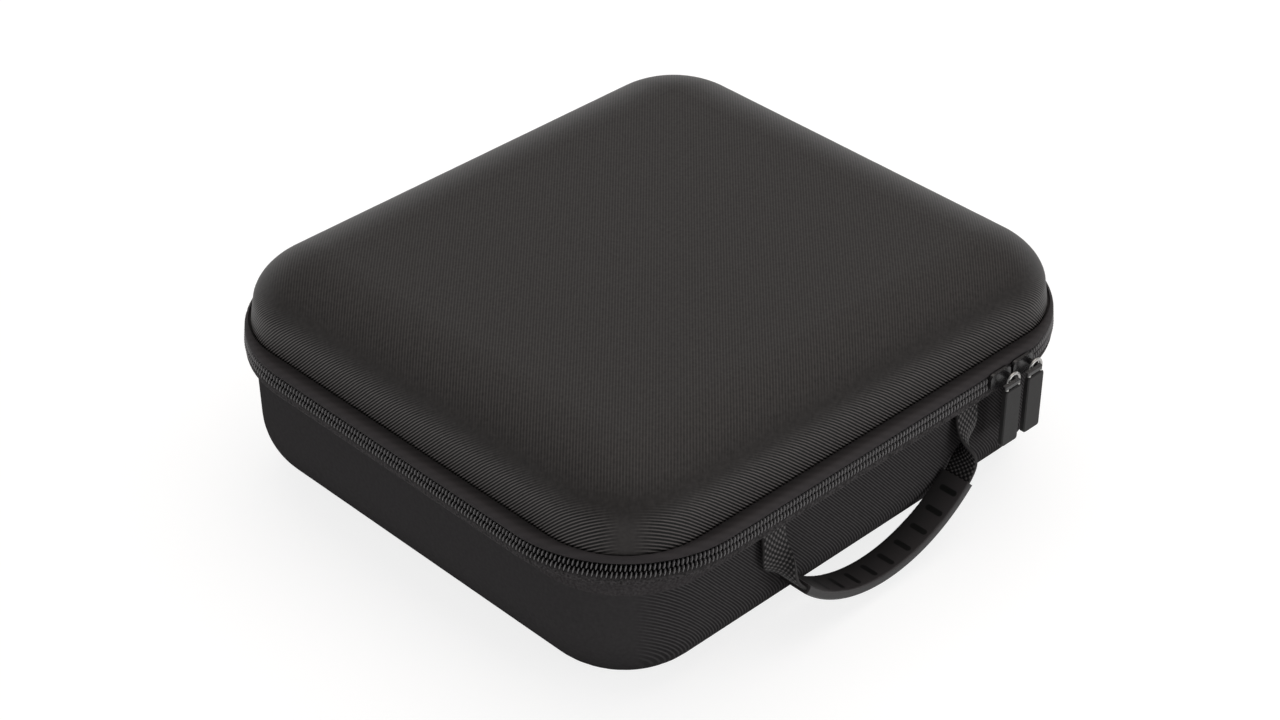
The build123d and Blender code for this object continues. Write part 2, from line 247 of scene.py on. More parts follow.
# %% Twill cloth of the shells
# Woven polyester over foam board: black and matt, with fine ridges that catch the light.
# The lid's ridges stand out most on its sides, the tub's only on its front and back, and at the
# moulded corners both are pressed flat. Painted light and shade: the lid's cloth is drawn darkest on
# its shoulder, paler on its top and palest on its walls, after how the light falls on each. The tub's
# cloth is drawn at one level, paler, for the light that its walls lack under the rim.
# The real ridges are about 1.15 mm apart; at 1.25 mm they show at the image's scale.
ridge_pitch = 0.00125
grain_slant = (0.71, -0.71, 0)
grain_strength = 0.2
slub_strength = 0.12
# Painted light and shade: the three levels set the cloth's tone on the shoulder, the walls and the top
for node, ground, ridge, gloss, (shoulder_shade, wall_light, top_light), slant, (side_shows, front_shows) in (
    ("lid_shell", "#050505", "#5c5857", 0.15, (0.21, 0.295, 0.25), (0.66, 0.77, 0.62), (1.1, 0.95)),
    ("base_shell", "#060606", "#4c4a4b", 0.0, (0.60, 0.60, 0.60), (0.80, 0.77, 0.73), (0.0, 0.6)),
):
    material, tree, shader = new_material(
        "black_twill_" + node, {"Roughness": 0.5, "Specular IOR Level": gloss}
    )
    place = add_node(tree, "ShaderNodeTexCoord")
    facing = add_node(
        tree, "ShaderNodeVectorMath", {"operation": "ABSOLUTE"}, links={0: place.outputs["Normal"]}
    )
    level_part = add_node(
        tree, "ShaderNodeVectorMath", {"operation": "MULTIPLY"}, {1: (1, 1, 0)}, {0: facing.outputs[0]}
    )
    sideways = add_node(
        tree, "ShaderNodeVectorMath", {"operation": "NORMALIZE"}, links={0: level_part.outputs[0]}
    )
    upward = add_node(tree, "ShaderNodeSeparateXYZ", links={0: facing.outputs[0]})
    sides = add_node(tree, "ShaderNodeSeparateXYZ", links={0: sideways.outputs[0]})
    on_walls, on_top, on_side, on_front = [
        add_node(
            tree,
            "ShaderNodeMapRange",
            {"interpolation_type": "SMOOTHSTEP"},
            {"From Min": start, "From Max": end, "To Max": most},
            {"Value": value},
        )
        for value, start, end, most in (
            (upward.outputs["Z"], 0.75, 0.25, 1.0),
            (upward.outputs["Z"], 0.72, 0.92, 1.0),
            (sides.outputs["X"], 0.72, 0.92, side_shows),
            (sides.outputs["Y"], 0.75, 0.95, front_shows),
        )
    ]
    on_flats = add_node(
        tree, "ShaderNodeMath", {"operation": "ADD"}, links={0: on_side.outputs[0], 1: on_front.outputs[0]}
    )
    on_ridges = add_node(
        tree,
        "ShaderNodeMath",
        {"operation": "MULTIPLY"},
        links={0: on_walls.outputs[0], 1: on_flats.outputs[0]},
    )
    on_grain = add_node(
        tree, "ShaderNodeMath", {"operation": "MULTIPLY"}, {1: grain_strength}, {0: on_top.outputs[0]}
    )
    lines = []
    for across, share in ((slant, on_ridges), (grain_slant, on_grain)):
        turn = Vector(across) * 2 * pi / ridge_pitch
        phase = add_node(
            tree,
            "ShaderNodeVectorMath",
            {"operation": "DOT_PRODUCT"},
            {1: turn},
            {0: place.outputs["Object"]},
        )
        wave = add_node(tree, "ShaderNodeMath", {"operation": "SINE"}, links={0: phase.outputs["Value"]})
        # Narrow ridges and wide grooves, about an even mean
        thread = add_node(
            tree,
            "ShaderNodeMapRange",
            {"interpolation_type": "SMOOTHSTEP"},
            {"From Min": -0.3, "From Max": 1.0, "To Min": -0.38, "To Max": 0.62},
            {"Value": wave.outputs[0]},
        )
        shown = add_node(
            tree,
            "ShaderNodeMath",
            {"operation": "MULTIPLY"},
            links={0: thread.outputs[0], 1: share.outputs[0]},
        )
        lines.append(shown.outputs[0])
    ridges = add_node(tree, "ShaderNodeMath", {"operation": "ADD"}, links={0: lines[0], 1: lines[1]})
    # Uneven threads keep the cloth from looking printed
    slubs = add_node(
        tree,
        "ShaderNodeTexNoise",
        values={"Scale": 600.0, "Detail": 3.0},
        links={"Vector": place.outputs["Object"]},
    )
    slubs_and_painted_light = add_node(
        tree,
        "ShaderNodeMapRange",
        values={"To Min": shoulder_shade - slub_strength, "To Max": shoulder_shade + slub_strength},
        links={"Value": slubs.outputs["Fac"]},
    )
    # Painted light and shade: the walls and the top are drawn at their own levels, paler than the lid's
    # shoulder
    for share, change in ((on_walls, wall_light - shoulder_shade), (on_top, top_light - shoulder_shade)):
        slubs_and_painted_light = add_node(
            tree,
            "ShaderNodeMath",
            {"operation": "MULTIPLY_ADD"},
            {1: change},
            {0: share.outputs[0], 2: slubs_and_painted_light.outputs[0]},
        )
    shade = add_node(
        tree, "ShaderNodeMath", {"operation": "ADD"}, links={0: slubs_and_painted_light.outputs[0], 1: ridges.outputs[0]}
    )
    tone = add_node(
        tree,
        "ShaderNodeMix",
        {"data_type": "RGBA"},
        {"A": srgb(ground), "B": srgb(ridge)},
        {"Factor": shade.outputs[0]},
    )
    relief = add_node(
        tree,
        "ShaderNodeBump",
        values={"Strength": 0.3, "Distance": 0.0003},
        links={"Height": shade.outputs[0]},
    )
    tree.links.new(tone.outputs["Result"], shader.inputs["Base Color"])
    tree.links.new(relief.outputs[0], shader.inputs["Normal"])
    dress(node, material)

print("twill ridges every", 1000 * ridge_pitch, "mm")

# %% [markdown]
# The lid's foot is edged with a soft bead of finer cloth, pressed into a crease against the lid's
# wall. The crease in the cloth is deeper than a solid model can show and takes little light. So shade
# is painted into the bead's cloth, darker with its distance from the rim, measured as for a rounded
# rectangle.

# %% Cloth bead of the lid
# Fine woven cloth: dark and matt, faintly ribbed, with painted shade that makes it nearly black where it
# meets the lid's wall.
rim_half_width = 0.150
rim_half_depth = 0.136
rim_radius = 0.061
crease_inset = 0.0065
bead_inset = 0.001
bead_cloth, tree, shader = new_material(
    "black_bead_cloth", {"Roughness": 0.7, "Specular IOR Level": 0.1}
)
place = add_node(tree, "ShaderNodeTexCoord")
folded = add_node(
    tree, "ShaderNodeVectorMath", {"operation": "ABSOLUTE"}, links={0: place.outputs["Object"]}
)
corner_centre = (rim_half_width - rim_radius, rim_half_depth - rim_radius, 1)
beyond = add_node(
    tree, "ShaderNodeVectorMath", {"operation": "SUBTRACT"}, {1: corner_centre}, {0: folded.outputs[0]}
)
outside = add_node(
    tree, "ShaderNodeVectorMath", {"operation": "MAXIMUM"}, {1: (0, 0, 0)}, {0: beyond.outputs[0]}
)
reach = add_node(tree, "ShaderNodeVectorMath", {"operation": "LENGTH"}, links={0: outside.outputs[0]})
# Painted shade of the crease: darker towards the lid's wall
light = add_node(
    tree,
    "ShaderNodeMapRange",
    values={
        "From Min": rim_radius - crease_inset,
        "From Max": rim_radius - bead_inset,
        "To Min": 0.3,
        "To Max": 0.85,
    },
    links={"Value": reach.outputs["Value"]},
)
ribs = add_node(
    tree,
    "ShaderNodeTexWave",
    {"wave_type": "BANDS", "bands_direction": "DIAGONAL"},
    {"Scale": 110.0, "Distortion": 0.5},
    {"Vector": place.outputs["Object"]},
)
shade = add_node(
    tree,
    "ShaderNodeMath",
    {"operation": "MULTIPLY_ADD"},
    {1: 0.15},
    {0: ribs.outputs["Fac"], 2: light.outputs[0]},
)
tone = add_node(
    tree,
    "ShaderNodeMix",
    {"data_type": "RGBA"},
    {"A": srgb("#050505"), "B": srgb("#363334")},
    {"Factor": shade.outputs[0]},
)
tree.links.new(tone.outputs["Result"], shader.inputs["Base Color"])
dress("lid_rim_binding", bead_cloth)
print("bead darkens over", round(1000 * (crease_inset - bead_inset), 1), "mm towards the crease")

# %% [markdown]
# The tub's rim is bound with tape, and the zip's own tapes are the same stuff, drawn darker as painted
# shade of the teeth. Tape has no ridges that show at this distance, so a soft noise serves for its grain.

# %% Binding tape and zip tape
# Plain woven tape: black, a little dusty and speckled on the rim, and drawn darker behind the zip
# as painted shade of the teeth, with a painted shadow just under the teeth.
shade_low = 0.0668
shade_high = 0.0684
tapes = {}
for name, dark, pale in (
    ("black_binding_tape", "#1e1d1d", "#4a4748"),
    # Painted shade: the zip tape is the same tape drawn darker, as in the shade of the teeth
    ("black_zip_tape_in_painted_shade", "#070707", "#161516"),
):
    material, tree, shader = new_material(name, {"Roughness": 0.8, "Specular IOR Level": 0.1})
    place = add_node(tree, "ShaderNodeTexCoord")
    grain = add_node(
        tree,
        "ShaderNodeTexNoise",
        values={"Scale": 900.0, "Detail": 2.0},
        links={"Vector": place.outputs["Object"]},
    )
    # Painted shadow: darker just under the teeth, which stand out over the tape
    height = add_node(tree, "ShaderNodeSeparateXYZ", links={0: place.outputs["Object"]})
    light = add_node(
        tree,
        "ShaderNodeMapRange",
        values={"From Min": shade_low, "From Max": shade_high, "To Min": 0.95, "To Max": 0.2},
        links={"Value": height.outputs["Z"]},
    )
    speckle_and_shadow = add_node(
        tree,
        "ShaderNodeMapRange",
        values={"From Min": 0.3, "From Max": 0.7},
        links={"Value": grain.outputs["Fac"], "To Max": light.outputs[0]},
    )
    tone = add_node(
        tree,
        "ShaderNodeMix",
        {"data_type": "RGBA"},
        {"A": srgb(dark), "B": srgb(pale)},
        {"Factor": speckle_and_shadow.outputs[0]},
    )
    relief = add_node(
        tree,
        "ShaderNodeBump",
        values={"Strength": 0.25, "Distance": 0.0002},
        links={"Height": grain.outputs["Fac"]},
    )
    tree.links.new(tone.outputs["Result"], shader.inputs["Base Color"])
    tree.links.new(relief.outputs[0], shader.inputs["Normal"])
    tapes[name] = material

for node, name in (
    ("base_rim_binding", "black_binding_tape"),
    ("zip_tape_lower", "black_zip_tape_in_painted_shade"),
    ("zip_tape_upper", "black_zip_tape_in_painted_shade"),
):
    dress(node, tapes[name])

# %% [markdown]
# The binding tape is folded under the rim and sewn to the tub's wall. Along the walls only its lower
# edge can be seen under the rim, and at the corners it shows as a pale crescent. A separate piece
# would have to follow the moulded wall, so the tape is part of the tub's finish, above a level line.

# %% Tape under the tub's rim
# The same dusty tape as on the rim: paler than the twill beside it.
tape_edge = 0.0556
edge_blur = 0.0005
tree = bpy.data.materials["black_twill_base_shell"].node_tree
shader = tree.nodes["Principled BSDF"]
cloth = shader.inputs["Base Color"].links[0].from_socket
place = add_node(tree, "ShaderNodeTexCoord")
height = add_node(tree, "ShaderNodeSeparateXYZ", links={0: place.outputs["Object"]})
taped = add_node(
    tree,
    "ShaderNodeMapRange",
    values={"From Min": tape_edge, "From Max": tape_edge + edge_blur},
    links={"Value": height.outputs["Z"]},
)
grain = add_node(
    tree,
    "ShaderNodeTexNoise",
    values={"Scale": 900.0, "Detail": 2.0},
    links={"Vector": place.outputs["Object"]},
)
tape = add_node(
    tree,
    "ShaderNodeMix",
    {"data_type": "RGBA"},
    {"A": srgb("#262425"), "B": srgb("#524f50")},
    {"Factor": grain.outputs["Fac"]},
)
tone = add_node(
    tree,
    "ShaderNodeMix",
    {"data_type": "RGBA"},
    links={"A": cloth, "B": tape.outputs["Result"], "Factor": taped.outputs[0]},
)
tree.links.new(tone.outputs["Result"], shader.inputs["Base Color"])
print("tape ends", 1000 * tape_edge, "mm above the floor")

# %% [markdown]
# A new piece is a mesh whose place is in its points. One function turns a finished bmesh into
# an object with its material and its body, and another gives cloth a thickness.


# %% New pieces
def add_piece(name, bm, material, body=None):
    """Make an object from a bmesh, smooth it, and let it ride on a body."""
    mesh = bpy.data.meshes.new(name)
    bm.to_mesh(mesh)
    bm.free()
    mesh.shade_smooth()
    mesh.materials.append(material)
    piece = bpy.data.objects.new(name, mesh)
    bpy.context.scene.collection.objects.link(piece)
    if body:
        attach(piece, body)
    print(name, len(mesh.polygons), "faces")
    return piece


def thicken(piece, depth):
    """Give a flat piece its thickness, half of it on each side."""
    thickness = piece.modifiers.new("thickness", "SOLIDIFY")
    thickness.thickness = depth
    thickness.offset = 0


print(len(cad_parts), "CAD pieces to dress")

# %% [markdown]
# A coil zip is two spirals of nylon thread. From outside, each turn shows as a small rounded
# bar, bright where it bulges towards the light. A spiral could be swept as a curve, but a row
# of some four hundred and fifty small ellipsoids is lighter. It is made straight and then bent
# along the rim, up to the zip's two ends beside the hinge. The two rows are half a tooth apart.

# %% Walk round the rim
# The real teeth are about 1.6 mm apart; they are drawn wider so that they show at the image's scale.
zip_end = 0.086
tooth_pitch = 0.0019
tooth_size = (0.0008, 0.0022, 0.0034)
coil_inset = 0.00065
rim_straights = (
    rim_half_width - rim_radius - zip_end,
    2 * (rim_half_depth - rim_radius),
    2 * (rim_half_width - rim_radius),
    2 * (rim_half_depth - rim_radius),
    rim_half_width - rim_radius - zip_end,
)


def rim_walk(distance, inset):
    """Walk round the rim from the zip's back left end; give the place and the heading's angle."""
    radius = rim_radius - inset
    place = Vector((-zip_end, rim_half_depth - inset, 0))
    heading = pi
    for straight in rim_straights:
        step = min(distance, straight)
        place = place + Vector((cos(heading), sin(heading), 0)) * step
        turn = min((distance - step) / radius, pi / 2)
        centre = place + Vector((-sin(heading), cos(heading), 0)) * radius
        heading += turn
        place = centre - Vector((-sin(heading), cos(heading), 0)) * radius
        distance -= step + turn * radius
    return place, heading


zip_length = sum(rim_straights) + 2 * pi * (rim_radius - coil_inset)
tooth_count = int(zip_length / tooth_pitch)
print("zip", round(1000 * zip_length), "mm long with", tooth_count, "teeth on each side")

# %% [markdown]
# The coil is black nylon with a slight gloss, worn a little uneven by the slider. One even gloss
# would be simpler, but then all the teeth would light up alike, as on a printed strip.

# %% Nylon coil of the zip
# Drawn nylon thread: dark grey bars, each with a bright line where it bulges.
upper_level = 0.0726
lower_level = 0.0693
upper_setback = 0.0003
tooth_lean = 0.2
nylon_coil, tree, shader = new_material(
    "black_nylon_coil", {"Base Color": srgb("#605e5f"), "Specular IOR Level": 0.5}
)
place = add_node(tree, "ShaderNodeTexCoord")
wear = add_node(
    tree,
    "ShaderNodeTexNoise",
    values={"Scale": 300.0, "Detail": 2.0},
    links={"Vector": place.outputs["Object"]},
)
gloss = add_node(
    tree,
    "ShaderNodeMapRange",
    values={"To Min": 0.25, "To Max": 0.45},
    links={"Value": wear.outputs["Fac"]},
)
tree.links.new(gloss.outputs[0], shader.inputs["Roughness"])


def add_coil(name, level, inset, start, node, body):
    """Make one straight row of leaning teeth and bend it along the rim."""
    bm = bmesh.new()
    bmesh.ops.create_uvsphere(bm, u_segments=8, v_segments=6, radius=0.5)
    bmesh.ops.scale(bm, vec=tooth_size, verts=bm.verts)
    bmesh.ops.transform(bm, matrix=Matrix.Shear("XY", 4, (tooth_lean, 0)), verts=bm.verts)
    bmesh.ops.translate(bm, vec=(start * tooth_pitch, 0, level), verts=bm.verts)
    tooth = bm.verts[:] + bm.edges[:] + bm.faces[:]
    bmesh.ops.spin(
        bm,
        geom=tooth,
        axis=(0, 0, 1),
        dvec=(tooth_pitch, 0, 0),
        steps=tooth_count - 1,
        use_duplicate=True,
    )
    for vert in bm.verts:
        place, heading = rim_walk(vert.co.x, inset)
        outwards = Vector((sin(heading), -cos(heading), 0))
        vert.co = place + outwards * vert.co.y + Vector((0, 0, vert.co.z))
    coil = add_piece(name, bm, nylon_coil, body)
    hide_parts(node)


add_coil(
    "zip_teeth_upper",
    upper_level,
    coil_inset + upper_setback,
    start=0.5,
    node="zip_coil_upper",
    body="lid",
)
add_coil("zip_teeth_lower", lower_level, coil_inset, start=1.0, node="zip_coil_lower", body="base")

# %% [markdown]
# Webbing is a thick ribbon of coarse yarn whose crossings show as rows of raised dots. The yarns could
# be modelled one by one, but at this size only the dots can be seen. They are drawn from the strap's
# own flat coordinates, so they follow it through its twist.

# %% Webbing of the strap
# Coarse plain weave: pale dots on black, in rows, with no gloss, and painted shade where the strap faces up
# under the rim.
strap_width = 0.013
yarns_across = 10
strap_material, tree, shader = new_material(
    "black_polyester_webbing", {"Roughness": 0.6, "Specular IOR Level": 0.15}
)
flat_place = add_node(tree, "ShaderNodeUVMap", {"uv_map": "flat"})
axes = add_node(tree, "ShaderNodeSeparateXYZ", links={0: flat_place.outputs[0]})
yarn_turn = pi * yarns_across / strap_width
phases = []
for axis in ("X", "Y"):
    phase = add_node(
        tree, "ShaderNodeMath", {"operation": "MULTIPLY"}, {1: yarn_turn}, {0: axes.outputs[axis]}
    )
    wave = add_node(tree, "ShaderNodeMath", {"operation": "SINE"}, links={0: phase.outputs[0]})
    phases.append(wave)
dots = add_node(
    tree,
    "ShaderNodeMath",
    {"operation": "MULTIPLY"},
    links={0: phases[0].outputs[0], 1: phases[1].outputs[0]},
)
shade = add_node(
    tree, "ShaderNodeMapRange", values={"From Min": -0.2, "From Max": 1.0}, links={"Value": dots.outputs[0]}
)
# Painted shade: the parts that face up under the rim are drawn darker than the hanging part, as less light
# reaches them
space = add_node(tree, "ShaderNodeTexCoord")
facing = add_node(
    tree, "ShaderNodeVectorMath", {"operation": "ABSOLUTE"}, links={0: space.outputs["Normal"]}
)
facing_axes = add_node(tree, "ShaderNodeSeparateXYZ", links={0: facing.outputs[0]})
light = add_node(
    tree,
    "ShaderNodeMapRange",
    values={"From Min": 0.3, "From Max": 0.8, "To Min": 1.0, "To Max": 0.4},
    links={"Value": facing_axes.outputs["Z"]},
)
lit = add_node(
    tree, "ShaderNodeMath", {"operation": "MULTIPLY"}, links={0: shade.outputs[0], 1: light.outputs[0]}
)
tone = add_node(
    tree,
    "ShaderNodeMix",
    {"data_type": "RGBA"},
    {"A": srgb("#0d0c0d"), "B": srgb("#6a6767")},
    {"Factor": lit.outputs[0]},
)
relief = add_node(
    tree, "ShaderNodeBump", values={"Strength": 0.8, "Distance": 0.0005}, links={"Height": shade.outputs[0]}
)
tree.links.new(tone.outputs["Result"], shader.inputs["Base Color"])
tree.links.new(relief.outputs[0], shader.inputs["Normal"])
print("webbing yarns are", round(1000 * strap_width / yarns_across, 1), "mm wide")

# %% [markdown]
# The strap hangs from under the rim, turns a quarter and runs through the grip, then does the
# same backwards on the other side. A flat grid of its real length is bent along that line.
# Bending a grid keeps the ribbon's width and its flat coordinates, which a sweep would lose.

# %% Strap with its twist
strap_root = Vector((0.060, -0.1304, 0.06325))
grip_end = Vector((0.051, -0.136, 0.03035))
grip_sag = 0.0214
fall_lean = radians(4)
fall_reach = 0.019
grip_lead = 0.012
twist_start = 0.15
twist_share = 0.7
strap_thickness = 0.0015
measuring_steps = 60
grip_arc = (grip_end.x**2 + grip_sag**2) / (2 * grip_sag)
grip_slope = asin(grip_end.x / grip_arc)
arc_centre_z = grip_end.z + grip_arc * cos(grip_slope)
grip_out = Vector((cos(grip_slope), 0, sin(grip_slope)))
fall = Vector((0, -sin(fall_lean), -cos(fall_lean))) * fall_reach
bends = (strap_root, strap_root + fall, grip_end + grip_out * grip_lead, grip_end)


def strap_frame(share):
    """Give the strap's place and width vector on its way from the root to the grip."""
    rest = 1 - share
    first, second, third, fourth = bends
    place = first * rest**3 + second * 3 * rest**2 * share
    place += third * 3 * rest * share**2
    place += fourth * share**3
    along = (second - first) * rest**2 + (third - second) * 2 * rest * share
    along += (fourth - third) * share**2
    along.normalize()
    late = min(1, max(0, (share - twist_start) / twist_share))
    twist = radians(90) * late**2 * (3 - 2 * late)
    across = Vector((cos(twist), sin(twist), 0))
    across -= along * across.dot(along)
    return place, across.normalized()


steps = [strap_frame(index / measuring_steps)[0] for index in range(measuring_steps + 1)]
fall_length = sum((b - a).length for a, b in zip(steps, steps[1:]))
grip_length = 2 * grip_arc * grip_slope
strap_length = grip_length + 2 * fall_length
print("strap", round(1000 * strap_length), "mm long")

bm = bmesh.new()
flat = bm.loops.layers.uv.new("flat")
bmesh.ops.create_grid(bm, x_segments=10, y_segments=240, size=0.5)
bmesh.ops.scale(bm, vec=(strap_width, strap_length, 1), verts=bm.verts)
for face in bm.faces:
    for loop in face.loops:
        loop[flat].uv = loop.vert.co.xy
for vert in bm.verts:
    aside, length = vert.co.x, vert.co.y
    side = 1 if length > 0 else -1
    if abs(length) < grip_length / 2:
        turn = length / grip_arc
        place = Vector((grip_arc * sin(turn), grip_end.y, arc_centre_z - grip_arc * cos(turn)))
        across = Vector((0, 1, 0))
    else:
        share = (strap_length / 2 - abs(length)) / fall_length
        place, across = strap_frame(share)
        place.x *= side
        across.x *= side
    vert.co = place + across * aside
bmesh.ops.recalc_face_normals(bm, faces=bm.faces)
strap = add_piece("webbing_strap", bm, strap_material, "handle")
thicken(strap, strap_thickness)
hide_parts("handle_strap")

# %% [markdown]
# The pull tabs are moulded in soft dark grey rubber. A plain grey would look like cut card, so the
# rubber gets a fine grain in its colour and in its surface.

# %% Moulded rubber of the pull tabs
# Soft moulded rubber: dark grey and satin, with a fine even grain.
tab_rubber, tree, shader = new_material(
    "grey_tab_rubber", {"Roughness": 0.6, "Specular IOR Level": 0.3}
)
place = add_node(tree, "ShaderNodeTexCoord")
grain = add_node(
    tree,
    "ShaderNodeTexNoise",
    values={"Scale": 700.0, "Detail": 4.0},
    links={"Vector": place.outputs["Object"]},
)
tone = add_node(
    tree,
    "ShaderNodeMix",
    {"data_type": "RGBA"},
    {"A": srgb("#161515"), "B": srgb("#262525")},
    {"Factor": grain.outputs["Fac"]},
)
relief = add_node(
    tree,
    "ShaderNodeBump",
    values={"Strength": 0.15, "Distance": 0.0002},
    links={"Height": grain.outputs["Fac"]},
)
tree.links.new(tone.outputs["Result"], shader.inputs["Base Color"])
tree.links.new(relief.outputs[0], shader.inputs["Normal"])
for node in ("pull_tab_left", "pull_tab_right"):
    dress(node, tab_rubber)

# %% [markdown]
# The grip is a harder rubber sleeve with ten short slots pressed across its upper face. That face
# is painted with light and shade: black by the case, where the rim shades it, and paler towards the
# front edge, which faces the light. In the CAD part a thin skin closes the slots, so the finish draws
# them black, as painted shade in the grooves: a slot is all that lies near a short line across the
# face, and the lines follow each other along the grip's arc.

# %% Rubber of the grip, with painted light and shade
# Moulded rubber with painted light and shade: black by the case, grey at the outer edge, with black strokes
# of painted shade for the slots.
slot_pitch = 0.011
slot_length = 0.009
slot_width = 0.0027
slot_middle = -0.1368
slot_blur = 0.0002
grip_half_width = 0.0077
grip_rubber, tree, shader = new_material(
    "black_grip_rubber", {"Roughness": 0.5, "Specular IOR Level": 0.35}
)
place = add_node(tree, "ShaderNodeTexCoord")
axes = add_node(tree, "ShaderNodeSeparateXYZ", links={0: place.outputs["Object"]})
facing = add_node(tree, "ShaderNodeSeparateXYZ", links={0: place.outputs["Normal"]})
grain = add_node(
    tree,
    "ShaderNodeTexNoise",
    values={"Scale": 700.0, "Detail": 4.0},
    links={"Vector": place.outputs["Object"]},
)
# Painted light and shade across the upper face: dark by the case, pale at the outer edge
painted_light_across = add_node(
    tree,
    "ShaderNodeMapRange",
    values={"From Min": grip_end.y + grip_half_width, "From Max": grip_end.y - grip_half_width},
    links={"Value": axes.outputs["Y"]},
)
face = add_node(
    tree,
    "ShaderNodeMix",
    {"data_type": "RGBA"},
    {"A": srgb("#201f1f"), "B": srgb("#353233")},
    {"Factor": painted_light_across.outputs[0]},
)
# Distance along the arc to the nearest slot, and distance beyond the slot's straight part
below = add_node(
    tree, "ShaderNodeMath", {"operation": "SUBTRACT"}, {0: arc_centre_z}, {1: axes.outputs["Z"]}
)
angle = add_node(
    tree, "ShaderNodeMath", {"operation": "ARCTAN2"}, links={0: axes.outputs["X"], 1: below.outputs[0]}
)
along = add_node(tree, "ShaderNodeMath", {"operation": "MULTIPLY"}, {1: grip_arc}, {0: angle.outputs[0]})
between = add_node(
    tree, "ShaderNodeMath", {"operation": "PINGPONG"}, {1: slot_pitch / 2}, {0: along.outputs[0]}
)
folded = add_node(
    tree, "ShaderNodeMath", {"operation": "SUBTRACT"}, {0: slot_pitch / 2}, {1: between.outputs[0]}
)
aside = add_node(
    tree, "ShaderNodeMath", {"operation": "SUBTRACT"}, {1: slot_middle}, {0: axes.outputs["Y"]}
)
off_middle = add_node(tree, "ShaderNodeMath", {"operation": "ABSOLUTE"}, links={0: aside.outputs[0]})
beyond = add_node(
    tree,
    "ShaderNodeMapRange",
    values={
        "From Min": (slot_length - slot_width) / 2,
        "From Max": slot_length,
        "To Max": (slot_length + slot_width) / 2,
    },
    links={"Value": off_middle.outputs[0]},
)
offset = add_node(tree, "ShaderNodeCombineXYZ", links={0: folded.outputs[0], 1: beyond.outputs[0]})
apart = add_node(tree, "ShaderNodeVectorMath", {"operation": "LENGTH"}, links={0: offset.outputs[0]})
# Painted shade in the slots: near black where the grooves are
slot_shade = add_node(
    tree,
    "ShaderNodeMapRange",
    values={"From Min": slot_width / 2 + slot_blur, "From Max": slot_width / 2 - slot_blur},
    links={"Value": apart.outputs["Value"]},
)
face_with_slot_shade = add_node(
    tree,
    "ShaderNodeMix",
    {"data_type": "RGBA"},
    {"B": srgb("#040404")},
    {"A": face.outputs["Result"], "Factor": slot_shade.outputs[0]},
)
side = add_node(
    tree,
    "ShaderNodeMix",
    {"data_type": "RGBA"},
    {"A": srgb("#1c1b1c"), "B": srgb("#302e2f")},
    {"Factor": grain.outputs["Fac"]},
)
upward = add_node(
    tree,
    "ShaderNodeMapRange",
    values={"From Min": 0.35, "From Max": 0.6},
    links={"Value": facing.outputs["Z"]},
)
tone = add_node(
    tree,
    "ShaderNodeMix",
    {"data_type": "RGBA"},
    links={"A": side.outputs["Result"], "B": face_with_slot_shade.outputs["Result"], "Factor": upward.outputs[0]},
)
relief = add_node(
    tree,
    "ShaderNodeBump",
    values={"Strength": 0.15, "Distance": 0.0002},
    links={"Height": grain.outputs["Fac"]},
)
tree.links.new(tone.outputs["Result"], shader.inputs["Base Color"])
tree.links.new(relief.outputs[0], shader.inputs["Normal"])
dress("handle_grip", grip_rubber)
print("grip has a slot every", 1000 * slot_pitch, "mm")

# %% [markdown]
# The sliders are zinc castings under gloss black paint, and the pull loops are bare bent wire
# that catches the light. One even gloss would do from afar. Close up, handled metal is smeared, so
# a noise varies the gloss of both.

# %% Painted zinc and steel wire
# Gloss paint over a casting: black with small sharp lights. Drawn wire: pale metal, softly bright.
metal_finishes = {}
for name, colour, metallic, low, high in (
    ("black_painted_zinc", "#1b1a1b", 0.0, 0.18, 0.38),
    ("dull_steel_wire", "#a9a8a6", 1.0, 0.28, 0.42),
):
    material, tree, shader = new_material(name, {"Base Color": srgb(colour), "Metallic": metallic})
    place = add_node(tree, "ShaderNodeTexCoord")
    smears = add_node(
        tree,
        "ShaderNodeTexNoise",
        values={"Scale": 500.0, "Detail": 3.0},
        links={"Vector": place.outputs["Object"]},
    )
    gloss = add_node(
        tree,
        "ShaderNodeMapRange",
        values={"To Min": low, "To Max": high},
        links={"Value": smears.outputs["Fac"]},
    )
    tree.links.new(gloss.outputs[0], shader.inputs["Roughness"])
    metal_finishes[name] = material

for side in ("left", "right"):
    dress("slider_" + side, metal_finishes["black_painted_zinc"])
    dress("pull_loop_" + side, metal_finishes["dull_steel_wire"])

# %% [markdown]
# A strip of cloth tape, about 168 by 12 mm, is the hinge. It is one sheet sewn to both rims. Two stiff
# leaves would part when the lid opens, so one sheet lies where the rims meet, on neither body.
# It is cut from the binding tape and has its dusty black finish.

# %% Cloth hinge
hinge_low, hinge_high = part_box("hinge_strip_lower")[0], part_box("hinge_strip_upper")[1]
hinge_size = hinge_high - hinge_low
bm = bmesh.new()
bmesh.ops.create_grid(bm, x_segments=84, y_segments=16, size=0.5)
bmesh.ops.scale(bm, vec=(hinge_size.x, hinge_size.z, 1), verts=bm.verts)
bmesh.ops.rotate(bm, cent=(0, 0, 0), matrix=Matrix.Rotation(radians(90), 3, "X"), verts=bm.verts)
bmesh.ops.translate(bm, vec=(hinge_low + hinge_high) / 2, verts=bm.verts)
bmesh.ops.recalc_face_normals(bm, faces=bm.faces)
hinge_cloth = add_piece("hinge_cloth", bm, tapes["black_binding_tape"])
thicken(hinge_cloth, hinge_size.y)
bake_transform(hinge_cloth)
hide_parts("hinge_strip_lower", "hinge_strip_upper")

# %% [markdown]
# Inside the lid a net is stretched between the walls, with an elastic hem along its mouth. A sheet with
# holes in its finish would look flat from the side. So the net is a slanted grid trimmed to the lid's
# outline, and each cell's edges become strands.

